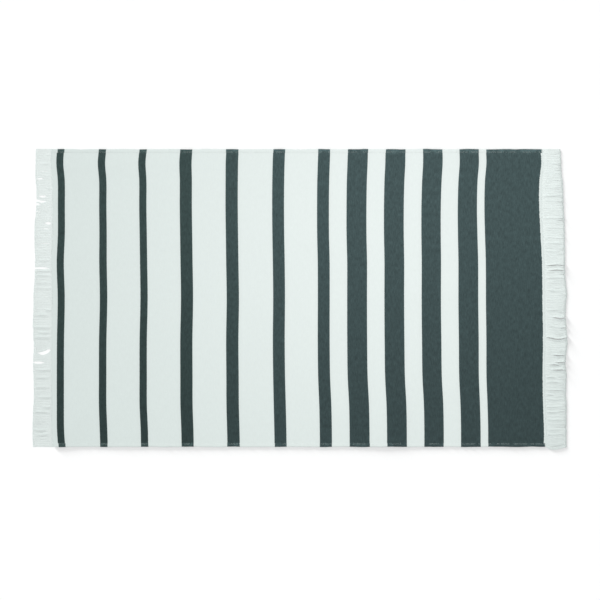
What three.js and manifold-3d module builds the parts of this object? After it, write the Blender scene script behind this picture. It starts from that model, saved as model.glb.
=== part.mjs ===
// Fouta towel laid flat in one layer: a striped woven cloth with a turned hem along each
// long side and a fringe of twisted warp ends at each short end.
// Millimetres. +X runs along the towel towards the widest stripe, +Y across it, +Z up.
// The origin is at the middle of the towel, on the surface that it lies on.

import * as THREE from 'three';
import Module from 'manifold-3d';

const wasm = await Module();
wasm.setup();

// Driving dimensions
const TOWEL_LENGTH = 1800; // tip of one fringe to tip of the other
const TOWEL_WIDTH = 1000; // fold of one hem to fold of the other
const CLOTH_START = -836; // where the weave ends by the narrow stripes
const CLOTH_END = 812; // where the weave ends by the wide band
const WALL = 1.4; // one layer of cloth
const SEAM_GAP = 0.3; // between two pieces that meet

// Hems: the two turned layers, which lie on the cloth
const HEM_WIDTH = 12;
const HEM_HEIGHT = 1.3;
const HEM_ROUND = 0.4; // rounding of the fold and of the turned edge
const HEM_OVERHANG = 0.5; // the fold stands this far outside the cloth below it

// Fringes: locks of warp ends, held by a strip of the last weft picks
const LOCKS_PER_END = 120;
const STRIP_WIDTH = 5;
const STRIP_HEIGHT = 1.6;
const LOCK_ROOTED = 2; // how far a lock reaches into the strip
const LOCK_STEPS = 2; // sections of a lock along its length
const LOCK_WIDTH = { root: 6.6, tip: 4.4 };
const LOCK_HEIGHT = { root: 1.1, middle: 2.2, tip: 1.5 };
const LOCK_CLEARANCE = 0.4; // lowest edge of a lock above the surface
const LOCK_ARCH = 0.8; // a lock's middle rises up to this much more
const LOCK_SWAY = 0.5; // and it bends sideways by up to this much
const TRIM_SPREAD = 2; // neighbouring locks differ in length by up to this much

// Sections of the cloth
const COLUMN_STEP = 42; // longest step along X
const ROW_STEPS = 22; // even steps along Y between the hems

const CREAM = 0xe3ece9;
const SLATE = 0x42504f;
const MATT = { roughness: 0.92, metalness: 0 };

// The dark stripes, from one X to another of the cloth as woven
const STRIPES = [
  { from: -819.3, to: -796.2 },
  { from: -678.6, to: -654.3 },
  { from: -542.7, to: -519.0 },
  { from: -406.4, to: -366.2 },
  { from: -252.5, to: -211.8 },
  { from: -95.6, to: -56.3 },
  { from: 55.3, to: 94.7 },
  { from: 154.4, to: 220.6 },
  { from: 279.9, to: 345.7 },
  { from: 405.3, to: 469.7 },
  { from: 528.3, to: 593.4 },
  { from: 619.4, to: 806.1 },
];

// How far the weft lies shifted along X, at six places along the towel and in rows across it
const SHIFT_PLACES = { first: -808, left: -600, middle: -232, inner: 140, outer: 470, last: 806 };
const SHIFTS = [
  { y: 500, first: -1.0, left: -1.0, middle: 0.4, inner: 1.8, outer: 3.4, last: -4.0 },
  { y: 457, first: -3.4, left: -5.5, middle: -1.4, inner: 0.3, outer: 3.9, last: -1.2 },
  { y: 396, first: 1.3, left: -1.8, middle: -2.1, inner: -1.9, outer: 0.4, last: -7.4 },
  { y: 306, first: 1.7, left: -1.7, middle: -2.4, inner: -3.0, outer: -2.4, last: -8.4 },
  { y: 215, first: 1.7, left: -0.3, middle: -1.3, inner: -2.9, outer: -2.6, last: -4.0 },
  { y: 124, first: -2.0, left: 1.0, middle: -0.2, inner: -0.7, outer: -1.6, last: 0.7 },
  { y: 3, first: 1.0, left: 2.4, middle: 1.7, inner: -0.7, outer: -2.1, last: 2.3 },
  { y: -148, first: -1.3, left: -0.5, middle: -0.2, inner: -0.5, outer: -0.4, last: 4.0 },
  { y: -269, first: -1.7, left: -0.8, middle: 0.7, inner: 1.2, outer: 1.2, last: 3.0 },
  { y: -359, first: -1.7, left: -0.7, middle: 1.0, inner: 5.7, outer: 5.9, last: 4.7 },
  { y: -450, first: -0.7, left: 3.4, middle: 3.3, inner: 7.4, outer: 7.5, last: 7.7 },
  { y: -500, first: 2.7, left: 4.0, middle: 4.4, inner: 7.7, outer: 7.6, last: 7.4 },
];

// The low folds where the cloth stands off the surface: centre, reach along and across the
// fold, turn of the fold from +X in degrees, and height of its crest
const FOLDS = [
  { place: 'inside the far hem', x: -640, y: 452, along: 150, across: 26, turn: 3, crest: 1.5 },
  { place: 'before the seventh stripe', x: 20, y: 196, along: 62, across: 24, turn: -26, crest: 1.4 },
  { place: 'across the right half', x: 520, y: 26, along: 190, across: 34, turn: 5, crest: 1.6 },
  { place: 'along the wide band', x: 716, y: -170, along: 180, across: 46, turn: 83, crest: 2.1 },
  { place: 'by the ninth stripe', x: 306, y: -372, along: 120, across: 44, turn: 74, crest: 2.2 },
  { place: 'by the tenth stripe', x: 438, y: 352, along: 130, across: 42, turn: 97, crest: 1.9 },
  { place: 'by the fifth stripe', x: -178, y: -60, along: 210, across: 48, turn: 86, crest: 2.0 },
  { place: 'by the fourth stripe', x: -322, y: 338, along: 130, across: 44, turn: 95, crest: 1.7 },
  { place: 'by the third stripe', x: -588, y: -262, along: 150, across: 44, turn: 92, crest: 1.8 },
  { place: 'at the near left corner', x: -770, y: -420, along: 90, across: 34, turn: 58, crest: 1.6 },
];
const FOLD_FOOT = 0.12; // cloth that would stand lower than this lies on the surface

// How much shorter than the longest lock the locks are, in rows along each end
const LEFT_TRIM = [
  { y: 500, short: 9 },
  { y: 415, short: 10 },
  { y: 350, short: 18 },
  { y: 300, short: 13 },
  { y: 255, short: 4 },
  { y: 0, short: 3 },
  { y: -390, short: 2 },
  { y: -500, short: 2 },
];
const RIGHT_TRIM = [
  { y: 500, short: 26 },
  { y: 416, short: 20 },
  { y: 376, short: 13 },
  { y: 336, short: 10 },
  { y: 54, short: 9 },
  { y: 10, short: 4 },
  { y: -148, short: 2 },
  { y: -280, short: 2 },
  { y: -335, short: 7 },
  { y: -400, short: 4 },
  { y: -500, short: 4 },
];

// Where the locks part, and how far the tips beside it lean away
const LEFT_PARTINGS = [
  { y: 402, lean: 1.6 },
  { y: 338, lean: 2.4 },
  { y: 248, lean: 1.8 },
  { y: 104, lean: 1.8 },
  { y: -182, lean: 1.6 },
];
const RIGHT_PARTINGS = [
  { y: 98, lean: 2.2 },
  { y: -72, lean: 2.4 },
  { y: -136, lean: 1.6 },
  { y: -220, lean: 2.2 },
];
const PARTING_REACH = 24; // the lean dies away over this distance

const LEFT_FRINGE = { weaveEnd: CLOTH_START, outward: -1, trim: LEFT_TRIM, partings: LEFT_PARTINGS };
const RIGHT_FRINGE = { weaveEnd: CLOTH_END, outward: 1, trim: RIGHT_TRIM, partings: RIGHT_PARTINGS };

const HALF_LENGTH = TOWEL_LENGTH / 2;
const HALF_WIDTH = TOWEL_WIDTH / 2;
const CLOTH_SIDE = HALF_WIDTH - HEM_OVERHANG;
const HEM_INSIDE = HALF_WIDTH - HEM_WIDTH;
const GOLDEN = (Math.sqrt(5) - 1) / 2;
const { lerp, clamp, degToRad } = THREE.MathUtils;

// An even, repeatable scatter between -1 and 1, a different one for each series
function scatter(number, series) {
  const turns = (number + 1) * GOLDEN * series;
  return 2 * (turns - Math.floor(turns)) - 1;
}

// A named column of a table whose rows run down in y, read between its rows
function fromTable(table, column, y) {
  const below = table.find((row) => row.y <= y) ?? table[table.length - 1];
  const above = table[Math.max(0, table.indexOf(below) - 1)];
  const share = above === below ? 0 : clamp((y - below.y) / (above.y - below.y), 0, 1);
  return lerp(below[column], above[column], share);
}

// Shift along X of the point that was woven at x, y
function shift(x, y) {
  const names = Object.keys(SHIFT_PLACES);
  const next = names.findIndex((name) => SHIFT_PLACES[name] > x);
  if (next === 0) return fromTable(SHIFTS, names[0], y);
  if (next < 0) return fromTable(SHIFTS, names[names.length - 1], y);
  const low = SHIFT_PLACES[names[next - 1]];
  const high = SHIFT_PLACES[names[next]];
  const share = (x - low) / (high - low);
  return lerp(fromTable(SHIFTS, names[next - 1], y), fromTable(SHIFTS, names[next], y), share);
}

// Height of the cloth's underside over the surface: every fold is a rounded crest that dies
// away along and across itself, and cloth lower than the foot lies flat
function lift(x, y) {
  let height = 0;
  for (const fold of FOLDS) {
    const turn = degToRad(fold.turn);
    const dx = x - fold.x;
    const dy = y - fold.y;
    const along = (dx * Math.cos(turn) + dy * Math.sin(turn)) / fold.along;
    const across = (dy * Math.cos(turn) - dx * Math.sin(turn)) / fold.across;
    height += fold.crest * Math.exp(-0.5 * (along * along + across * across));
  }
  return Math.max(0, height - FOLD_FOOT);
}

// Sections along X: the weave's ends, every stripe's edges and even steps between them
function clothColumns() {
  const edges = [CLOTH_START, ...STRIPES.flatMap((stripe) => [stripe.from, stripe.to]), CLOTH_END];
  const columns = [];
  for (let i = 0; i + 1 < edges.length; i += 1) {
    const steps = Math.ceil((edges[i + 1] - edges[i]) / COLUMN_STEP);
    for (let k = 0; k < steps; k += 1) columns.push(lerp(edges[i], edges[i + 1], k / steps));
  }
  return [...columns, CLOTH_END];
}

// Rows along Y: even steps between the hems' inner edges, and the cloth's sides
function clothRows() {
  const rows = [-CLOTH_SIDE];
  for (let k = 0; k <= ROW_STEPS; k += 1) rows.push(lerp(-HEM_INSIDE, HEM_INSIDE, k / ROW_STEPS));
  return [...rows, CLOTH_SIDE];
}

const COLUMNS = clothColumns();
const ROWS = clothRows();

// X of the weave's end at y, on the straight line from row to row
function weaveEndAt(weaveEnd, y) {
  const inside = clamp(y, -CLOTH_SIDE, CLOTH_SIDE);
  const next = Math.max(1, ROWS.findIndex((row) => row >= inside));
  const share = (inside - ROWS[next - 1]) / (ROWS[next] - ROWS[next - 1]);
  return weaveEnd + lerp(shift(weaveEnd, ROWS[next - 1]), shift(weaveEnd, ROWS[next]), share);
}

// A ring across a flat piece: its lower points from low Y to high Y, then its upper points
// back, each one over its lower point
function flatRing(points) {
  const under = points.map(({ x, y, low }) => new THREE.Vector3(x, y, low));
  const over = points.map(({ x, y, high }) => new THREE.Vector3(x, y, high));
  return [...under, ...over.reverse()];
}

// A closed solid through rings that follow each other along +X. Each face keeps the number
// of the step it belongs to.
function loft(rings) {
  const size = rings[0].length;
  const faces = [];
  const addQuad = (a, b, c, d, step) => {
    faces.push({ corners: [a, b, c], step }, { corners: [a, c, d], step });
  };
  for (let step = 0; step + 1 < rings.length; step += 1) {
    const near = step * size;
    const far = near + size;
    for (let j = 0; j < size; j += 1) {
      const k = (j + 1) % size;
      addQuad(near + j, near + k, far + k, far + j, step);
    }
  }
  const lastStep = rings.length - 2;
  const lastRing = (rings.length - 1) * size;
  for (let j = 0; j + 1 < size / 2; j += 1) {
    const over = size - 1 - j;
    addQuad(over, over - 1, j + 1, j, 0);
    addQuad(lastRing + j, lastRing + j + 1, lastRing + over - 1, lastRing + over, lastStep);
  }
  return { points: rings.flat(), faces };
}

function isDark(x) {
  return STRIPES.some((stripe) => x > stripe.from && x < stripe.to);
}

// A mesh of the striped cloth, lofted through one ring for each column
function stripedMesh(name, rings) {
  const { points, faces } = loft(rings);
  const positions = [];
  const colors = [];
  for (const { corners, step } of faces) {
    const shade = new THREE.Color(isDark((COLUMNS[step] + COLUMNS[step + 1]) / 2) ? SLATE : CREAM);
    for (const corner of corners) {
      positions.push(...points[corner]);
      colors.push(shade.r, shade.g, shade.b);
    }
  }
  const geometry = new THREE.BufferGeometry();
  geometry.setAttribute('position', new THREE.Float32BufferAttribute(positions, 3));
  geometry.setAttribute('color', new THREE.Float32BufferAttribute(colors, 3));
  geometry.computeVertexNormals();
  const mesh = new THREE.Mesh(geometry, new THREE.MeshStandardMaterial({ ...MATT, vertexColors: true }));
  mesh.name = name;
  return mesh;
}

// The woven cloth: one layer that lies flat and stands off the surface at the folds
function panel() {
  const rings = COLUMNS.map((x) => flatRing(ROWS.map((y) => {
    const low = lift(x, y);
    return { x: x + shift(x, y), y, low, high: low + WALL };
  })));
  return stripedMesh('panel', rings);
}

// The turned layers of one long side, made from the cloth's own points and moved up. side
// is 1 at the far side and -1 at the near one.
function hem(name, side) {
  const rings = COLUMNS.map((x) => {
    const base = (y) => {
      const share = clamp((y - HEM_INSIDE) / (CLOTH_SIDE - HEM_INSIDE), 0, 1);
      return WALL + SEAM_GAP + lerp(lift(x, side * HEM_INSIDE), lift(x, side * CLOTH_SIDE), share);
    };
    const at = (y, down, up) => ({
      x: x + shift(x, side * Math.min(y, CLOTH_SIDE)),
      y: side * y,
      low: base(y) + down,
      high: base(y) + up,
    });
    const points = [
      at(HEM_INSIDE, 0, HEM_HEIGHT - HEM_ROUND),
      at(HEM_INSIDE + HEM_ROUND, 0, HEM_HEIGHT),
      at(CLOTH_SIDE, 0, HEM_HEIGHT),
      at(HALF_WIDTH, HEM_ROUND, HEM_HEIGHT - HEM_ROUND),
    ];
    return flatRing(side > 0 ? points : points.reverse());
  });
  return stripedMesh(name, rings);
}

// The strip of the last weft picks, just outside the weave's end
function strip({ weaveEnd, outward }) {
  const rows = [-HALF_WIDTH, ...ROWS, HALF_WIDTH];
  const ringAt = (distance) => flatRing(rows.map((y) => {
    const low = lift(weaveEnd, y);
    return { x: weaveEndAt(weaveEnd, y) + outward * distance, y, low, high: low + STRIP_HEIGHT };
  }));
  const rings = [ringAt(SEAM_GAP), ringAt(SEAM_GAP + STRIP_WIDTH)];
  return loft(outward > 0 ? rings : rings.reverse());
}

// Sideways lean of a tip at y, away from the partings near it
function leanAt(partings, y) {
  return partings.reduce((sum, parting) => {
    const away = y - parting.y;
    return sum + parting.lean * Math.sign(away) * Math.exp(-Math.abs(away) / PARTING_REACH);
  }, 0);
}

// One lock: a four-sided tapered prism that arches a little and sways to one side
function lock({ weaveEnd, outward, trim, partings }, number) {
  const y = TOWEL_WIDTH * ((number + 0.5) / LOCKS_PER_END - 0.5);
  const rootX = weaveEndAt(weaveEnd, y) + outward * (SEAM_GAP + STRIP_WIDTH - LOCK_ROOTED);
  const short = Math.max(0, fromTable(trim, 'short', y) + TRIM_SPREAD * scatter(number, 1));
  const tipX = outward * (HALF_LENGTH - short);
  const lean = leanAt(partings, y);
  const sway = LOCK_SWAY * scatter(number, 2);
  const arch = LOCK_ARCH * (1 + scatter(number, 3)) / 2;
  const rings = [];
  for (let step = 0; step <= LOCK_STEPS; step += 1) {
    const t = step / LOCK_STEPS;
    const bow = Math.sin(Math.PI * t);
    const x = lerp(rootX, tipX, t);
    const middle = y + lean * t * t + sway * bow;
    const half = lerp(LOCK_WIDTH.root, LOCK_WIDTH.tip, t) / 2;
    const height = lerp(lerp(LOCK_HEIGHT.root, LOCK_HEIGHT.tip, t), LOCK_HEIGHT.middle, bow);
    const low = LOCK_CLEARANCE + lerp(lift(weaveEnd, y), 0, t) + arch * bow;
    rings.push([
      new THREE.Vector3(x, middle, low),
      new THREE.Vector3(x, middle + half, low + height / 2),
      new THREE.Vector3(x, middle, low + height),
      new THREE.Vector3(x, middle - half, low + height / 2),
    ]);
  }
  return loft(outward > 0 ? rings : rings.reverse());
}

// The same closed solid for the boolean library
function asSolid({ points, faces }) {
  return new wasm.Manifold(new wasm.Mesh({
    numProp: 3,
    vertProperties: new Float32Array(points.flatMap((point) => [...point])),
    triVerts: new Uint32Array(faces.flatMap((face) => face.corners)),
  }));
}

// A fringe: the locks joined to their strip at the roots
function fringe(name, end) {
  let solid = asSolid(strip(end));
  for (let number = 0; number < LOCKS_PER_END; number += 1) {
    solid = solid.add(asSolid(lock(end, number)));
  }
  const joined = solid.getMesh();
  const geometry = new THREE.BufferGeometry();
  geometry.setAttribute('position', new THREE.BufferAttribute(joined.vertProperties, 3));
  geometry.setIndex(new THREE.BufferAttribute(joined.triVerts, 1));
  geometry.computeVertexNormals();
  const mesh = new THREE.Mesh(geometry, new THREE.MeshStandardMaterial({ ...MATT, color: CREAM }));
  mesh.name = name;
  return mesh;
}

const towel = new THREE.Group();
towel.add(
  panel(),
  hem('hem_far', 1),
  hem('hem_near', -1),
  fringe('fringe_left', LEFT_FRINGE),
  fringe('fringe_right', RIGHT_FRINGE),
);

export default towel;
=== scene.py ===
"""A fouta towel laid flat in one layer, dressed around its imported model.

The cloth is a thin woven shell with twelve dark stripes across it. Each long side is turned
up in a lockstitched hem, and each short end has a fringe of loosely twisted warp yarns.
Sizes are in millimetres up to the point where a mesh is made, and every mesh is in metres.
+X runs along the towel towards its widest stripe, +Y across it and +Z up.
"""

import logging
import math
from dataclasses import dataclass
from enum import Enum

import bpy
import numpy as np
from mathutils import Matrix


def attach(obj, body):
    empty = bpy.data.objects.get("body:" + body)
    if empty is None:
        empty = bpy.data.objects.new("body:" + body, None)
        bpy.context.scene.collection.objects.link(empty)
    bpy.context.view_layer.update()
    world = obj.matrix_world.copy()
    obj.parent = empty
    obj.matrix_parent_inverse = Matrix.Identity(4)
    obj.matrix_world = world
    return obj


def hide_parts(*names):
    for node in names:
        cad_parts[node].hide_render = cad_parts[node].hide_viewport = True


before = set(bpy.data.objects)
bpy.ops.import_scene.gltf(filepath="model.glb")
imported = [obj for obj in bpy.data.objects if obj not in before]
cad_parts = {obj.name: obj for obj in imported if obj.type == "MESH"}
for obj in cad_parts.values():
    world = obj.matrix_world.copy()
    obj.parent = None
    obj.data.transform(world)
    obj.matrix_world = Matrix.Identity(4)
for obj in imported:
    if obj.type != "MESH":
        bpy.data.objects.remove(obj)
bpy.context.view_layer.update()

log = logging.getLogger("fouta")

Array = np.ndarray
Socket = bpy.types.NodeSocket
Pair = tuple[float, float]
Triple = tuple[float, float, float]
Colour = tuple[float, float, float, float]

METRE = 0.001  # metres in a millimetre

# Driving dimensions, the same as the solids'
TOWEL_LENGTH = 1800.0  # tip of one fringe to tip of the other
TOWEL_WIDTH = 1000.0  # fold of one hem to fold of the other
CLOTH_START = -836.0  # where the weave ends by the narrow stripes
CLOTH_END = 812.0  # where the weave ends by the wide band
WALL = 1.4  # one layer of cloth
HALF_LENGTH = TOWEL_LENGTH / 2
HALF_WIDTH = TOWEL_WIDTH / 2

# The weave
WEFT_PITCH = 1.25  # from pick to pick, along X
WARP_PITCH = 1.0  # from warp end to warp end, along Y

# Sewing
HEM_EDGE = HALF_WIDTH - 0.5  # where a hem's fold lies, from which it wavers
STITCH_PITCH = 3.5
STITCH_IN = 9.7  # from a hem's fold to its line of stitches


@dataclass(frozen=True)
class Stripe:
    """A dark stripe, from one X to another of the cloth as woven."""

    start: float
    end: float


STRIPES = (
    Stripe(-819.3, -796.2),
    Stripe(-678.6, -654.3),
    Stripe(-542.7, -519.0),
    Stripe(-406.4, -366.2),
    Stripe(-252.5, -211.8),
    Stripe(-95.6, -56.3),
    Stripe(55.3, 94.7),
    Stripe(154.4, 220.6),
    Stripe(279.9, 345.7),
    Stripe(405.3, 469.7),
    Stripe(528.3, 593.4),
    Stripe(619.4, 806.1),
)


@dataclass(frozen=True)
class ShiftRow:
    """How far the weft lies shifted along X in one row, at six places along the towel."""

    y: float
    first: float
    left: float
    middle: float
    inner: float
    outer: float
    last: float

    def values(self) -> tuple[float, ...]:
        """The six shifts from one end of the towel to the other."""
        return self.first, self.left, self.middle, self.inner, self.outer, self.last


SHIFT_PLACES = np.array([-808.0, -600.0, -232.0, 140.0, 470.0, 806.0])
SHIFTS = (
    ShiftRow(y=-500, first=2.7, left=4.0, middle=4.4, inner=7.7, outer=7.6, last=7.4),
    ShiftRow(y=-450, first=-0.7, left=3.4, middle=3.3, inner=7.4, outer=7.5, last=7.7),
    ShiftRow(y=-359, first=-1.7, left=-0.7, middle=1.0, inner=5.7, outer=5.9, last=4.7),
    ShiftRow(y=-269, first=-1.7, left=-0.8, middle=0.7, inner=1.2, outer=1.2, last=3.0),
    ShiftRow(y=-148, first=-1.3, left=-0.5, middle=-0.2, inner=-0.5, outer=-0.4, last=4.0),
    ShiftRow(y=3, first=1.0, left=2.4, middle=1.7, inner=-0.7, outer=-2.1, last=2.3),
    ShiftRow(y=124, first=-2.0, left=1.0, middle=-0.2, inner=-0.7, outer=-1.6, last=0.7),
    ShiftRow(y=215, first=1.7, left=-0.3, middle=-1.3, inner=-2.9, outer=-2.6, last=-4.0),
    ShiftRow(y=306, first=1.7, left=-1.7, middle=-2.4, inner=-3.0, outer=-2.4, last=-8.4),
    ShiftRow(y=396, first=1.3, left=-1.8, middle=-2.1, inner=-1.9, outer=0.4, last=-7.4),
    ShiftRow(y=457, first=-3.4, left=-5.5, middle=-1.4, inner=0.3, outer=3.9, last=-1.2),
    ShiftRow(y=500, first=-1.0, left=-1.0, middle=0.4, inner=1.8, outer=3.4, last=-4.0),
)


@dataclass(frozen=True)
class Fold:
    """A low fold where the cloth stands off the surface.

    Its reach is given along and across it, its turn from +X in degrees, and the height of
    its crest in millimetres.
    """

    x: float
    y: float
    along: float
    across: float
    turn: float
    crest: float


FOLDS = (
    Fold(x=-640, y=452, along=150, across=26, turn=3, crest=1.5),
    Fold(x=20, y=196, along=62, across=24, turn=-26, crest=1.4),
    Fold(x=520, y=26, along=190, across=34, turn=5, crest=1.6),
    Fold(x=716, y=-170, along=180, across=46, turn=83, crest=2.1),
    Fold(x=306, y=-372, along=120, across=44, turn=74, crest=2.2),
    Fold(x=438, y=352, along=130, across=42, turn=97, crest=1.9),
    Fold(x=-178, y=-60, along=210, across=48, turn=86, crest=2.0),
    Fold(x=-322, y=338, along=130, across=44, turn=95, crest=1.7),
    Fold(x=-588, y=-262, along=150, across=44, turn=92, crest=1.8),
    Fold(x=-770, y=-420, along=90, across=34, turn=58, crest=1.6),
)
FOLD_FOOT = 0.12  # cloth that would stand lower than this lies on the surface


@dataclass(frozen=True)
class TrimRow:
    """How much shorter than the longest lock the locks are at one Y."""

    y: float
    short: float


LEFT_TRIM = (
    TrimRow(y=-500, short=-0.9),
    TrimRow(y=-460, short=-2.3),
    TrimRow(y=-392, short=-1.3),
    TrimRow(y=-325, short=2.5),
    TrimRow(y=-224, short=-0.8),
    TrimRow(y=-157, short=2.4),
    TrimRow(y=-90, short=-1.1),
    TrimRow(y=-23, short=1.3),
    TrimRow(y=10, short=0.4),
    TrimRow(y=77, short=5.8),
    TrimRow(y=144, short=7.1),
    TrimRow(y=177, short=4.5),
    TrimRow(y=245, short=4.1),
    TrimRow(y=278, short=8.4),
    TrimRow(y=345, short=11.6),
    TrimRow(y=413, short=7.7),
    TrimRow(y=500, short=9.1),
)
RIGHT_TRIM = (
    TrimRow(y=-493, short=10.9),
    TrimRow(y=-426, short=10.4),
    TrimRow(y=-359, short=9.9),
    TrimRow(y=-325, short=12.4),
    TrimRow(y=-292, short=11.4),
    TrimRow(y=-258, short=9.4),
    TrimRow(y=-224, short=14.0),
    TrimRow(y=-191, short=12.0),
    TrimRow(y=-157, short=7.0),
    TrimRow(y=-124, short=9.0),
    TrimRow(y=-57, short=14.0),
    TrimRow(y=-23, short=12.5),
    TrimRow(y=10, short=9.0),
    TrimRow(y=77, short=15.0),
    TrimRow(y=245, short=17.1),
    TrimRow(y=312, short=20.6),
    TrimRow(y=379, short=22.6),
    TrimRow(y=413, short=27.1),
    TrimRow(y=500, short=31.1),
)
TRIM_ALLOWANCE = 0.8  # how much longer the yarns are than the rows say, before their own trim


@dataclass(frozen=True)
class Parting:
    """A place where the locks stand apart.

    It opens over a stretch of the fringe given by its distances from the weave's end, and
    the yarns beside it move apart by the gap, less and less further away. They may also
    rise off the surface there, and sag aside towards the near side in its middle.
    """

    y: float
    start: float
    end: float
    gap: float
    rise: float = 0.0
    sag: float = 0.0
    reach: float = 12.0


LEFT_PARTINGS = (
    Parting(y=446, start=10, end=34, gap=1.2, rise=1.4),
    Parting(y=423, start=12, end=46, gap=2.6),
    Parting(y=400, start=34, end=52, gap=5.5),
    Parting(y=364, start=2, end=16, gap=1.2, rise=1.4),
    Parting(y=343, start=24, end=44, gap=7.0, sag=1.0),
    Parting(y=328, start=26, end=60, gap=9.0),
    Parting(y=316, start=44, end=62, gap=8.5),
    Parting(y=290, start=44, end=66, gap=3.0, rise=0.7),
    Parting(y=247, start=2, end=24, gap=9.5),
    Parting(y=234, start=8, end=36, gap=3.0),
    Parting(y=183, start=8, end=34, gap=2.2),
    Parting(y=128, start=12, end=44, gap=1.2, rise=1.4),
    Parting(y=104, start=14, end=66, gap=7.0),
    Parting(y=92, start=2, end=58, gap=0.9, rise=1.8),
    Parting(y=72, start=2, end=60, gap=0.9, rise=1.7),
    Parting(y=54, start=2, end=62, gap=0.9, rise=1.7),
    Parting(y=30, start=2, end=60, gap=0.9, rise=1.4),
    Parting(y=-40, start=0, end=20, gap=0.9, rise=2.7),
    Parting(y=-57, start=18, end=56, gap=0.9, rise=2.2),
    Parting(y=-96, start=6, end=66, gap=0.9, rise=2.7, sag=-1.0),
    Parting(y=-117, start=14, end=44, gap=0.9, rise=2.1, sag=1.0),
    Parting(y=-133, start=4, end=66, gap=0.9, rise=2.8, sag=-1.5),
    Parting(y=-176, start=1, end=42, gap=13.0),
    Parting(y=-176, start=0, end=76, gap=0.0, sag=11.0),
    Parting(y=-216, start=32, end=62, gap=9.0),
    Parting(y=-243, start=6, end=48, gap=0.9, rise=2.5),
    Parting(y=-268, start=16, end=50, gap=0.9, rise=2.1, sag=1.0),
    Parting(y=-302, start=20, end=62, gap=0.9, rise=2.7),
    Parting(y=-336, start=6, end=40, gap=0.9, rise=2.1),
    Parting(y=-364, start=4, end=28, gap=0.9, rise=2.2, sag=1.0),
    Parting(y=-386, start=16, end=64, gap=0.9, rise=2.4),
    Parting(y=-444, start=24, end=66, gap=0.9, rise=2.5, sag=2.0),
    Parting(y=-461, start=16, end=48, gap=0.9, rise=2.4, sag=1.5),
)
RIGHT_PARTINGS = (
    Parting(y=338, start=6, end=58, gap=0.6, rise=1.3, sag=1.0),
    Parting(y=327, start=50, end=80, gap=0.9, rise=0.8),
    Parting(y=270, start=2, end=74, gap=0.5, rise=1.4, sag=-1.0),
    Parting(y=203, start=46, end=80, gap=0.9, rise=0.8),
    Parting(y=186, start=14, end=62, gap=0.6, rise=1.5, sag=1.0),
    Parting(y=160, start=4, end=52, gap=0.5, rise=1.2),
    Parting(y=107, start=14, end=72, gap=3.0, rise=2.8, sag=-1.0),
    Parting(y=92, start=22, end=72, gap=3.0, rise=2.8, sag=-1.0),
    Parting(y=70, start=8, end=60, gap=0.6, rise=1.4),
    Parting(y=28, start=16, end=64, gap=0.6, rise=1.5, sag=1.0),
    Parting(y=-40, start=4, end=60, gap=0.6, rise=1.5),
    Parting(y=-69, start=36, end=76, gap=5.4, rise=3.6, sag=3.5),
    Parting(y=-99, start=60, end=80, gap=3.4, rise=2.8),
    Parting(y=-131, start=10, end=84, gap=4.0, rise=3.6, sag=5.5),
    Parting(y=-195, start=33, end=74, gap=3.6, rise=3.3, sag=2.5),
    Parting(y=-213, start=43, end=76, gap=3.6, rise=3.3),
    Parting(y=-223, start=20, end=48, gap=3.6, rise=3.3),
    Parting(y=-244, start=30, end=68, gap=3.6, rise=3.3),
    Parting(y=-263, start=4, end=42, gap=0.8, rise=1.2),
    Parting(y=-281, start=6, end=48, gap=0.8, rise=1.2, sag=1.0),
    Parting(y=-305, start=10, end=64, gap=1.2, rise=1.4),
    Parting(y=-326, start=4, end=30, gap=1.2, rise=1.2),
    Parting(y=-342, start=18, end=58, gap=0.8, rise=1.3, sag=1.5),
    Parting(y=-364, start=4, end=56, gap=0.6, rise=1.0),
    Parting(y=-383, start=10, end=44, gap=0.8, rise=1.3, sag=1.5),
    Parting(y=-409, start=4, end=66, gap=0.6, rise=1.1),
    Parting(y=-440, start=6, end=54, gap=0.6, rise=1.2, sag=1.0),
    Parting(y=-462, start=4, end=66, gap=0.6, rise=0.9),
)


# The warp yarn's colour in a painted lit copy for the left end and a painted shaded copy
# for the right one, and the painted shade at the near end and painted light at the far
# end of each fringe
LEFT_YARN_PAINTED_LIT = (0.741, 0.816, 0.796, 1.0)
RIGHT_YARN_PAINTED_SHADED = (0.655, 0.737, 0.715, 1.0)
LEFT_PAINTED_ENDS = (0.947, 0.998)
RIGHT_PAINTED_ENDS = (0.975, 1.035)
FRINGE_LAY = 2.4  # length of one turn of a fringe yarn's twist
FRINGE_RELIEF = 0.00006  # of its plies, in metres
THREAD = (0.60, 0.67, 0.64, 1.0)
LOCKS_PER_END = 120
YARNS_PER_LOCK = 11
YARNS_PER_END = LOCKS_PER_END * YARNS_PER_LOCK


class Side(Enum):
    """A long side of the towel, and the sign of its Y."""

    FAR = 1
    NEAR = -1


class End(Enum):
    """A short end of the towel, and the sign of its X."""

    LEFT = -1
    RIGHT = 1


# Helpers that work on whole arrays


def smooth_step(value: Array, low: float, high: float) -> Array:
    """Rise from 0 at low to 1 at high along 3t^2 - 2t^3."""
    share = np.clip((value - low) / (high - low), 0.0, 1.0)
    return share * share * (3.0 - 2.0 * share)


def smooth_table(at: Array, places: Array, values: Array) -> Array:
    """Read a table as one smooth curve.

    Between two places the curve is the cubic that meets both values, and at each place its
    slope is the mean slope of the table there.

    Args:
        at: where the table is read.
        places: the table's places, rising.
        values: the table's values.

    Returns:
        The curve's values, in the form of at.
    """
    slopes = np.gradient(values, places)
    k = np.clip(np.searchsorted(places, at) - 1, 0, len(places) - 2)
    width = places[k + 1] - places[k]
    t = np.clip((at - places[k]) / width, 0.0, 1.0)
    rise = t * t * (3.0 - 2.0 * t)
    leave = t * (1.0 - t) ** 2
    arrive = t * t * (t - 1.0)
    ends = values[k] * (1.0 - rise) + values[k + 1] * rise
    return ends + width * (slopes[k] * leave + slopes[k + 1] * arrive)


def unit(vectors: Array) -> Array:
    """The same vectors with a length of 1."""
    return vectors / np.linalg.norm(vectors, axis=-1, keepdims=True)


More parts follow.
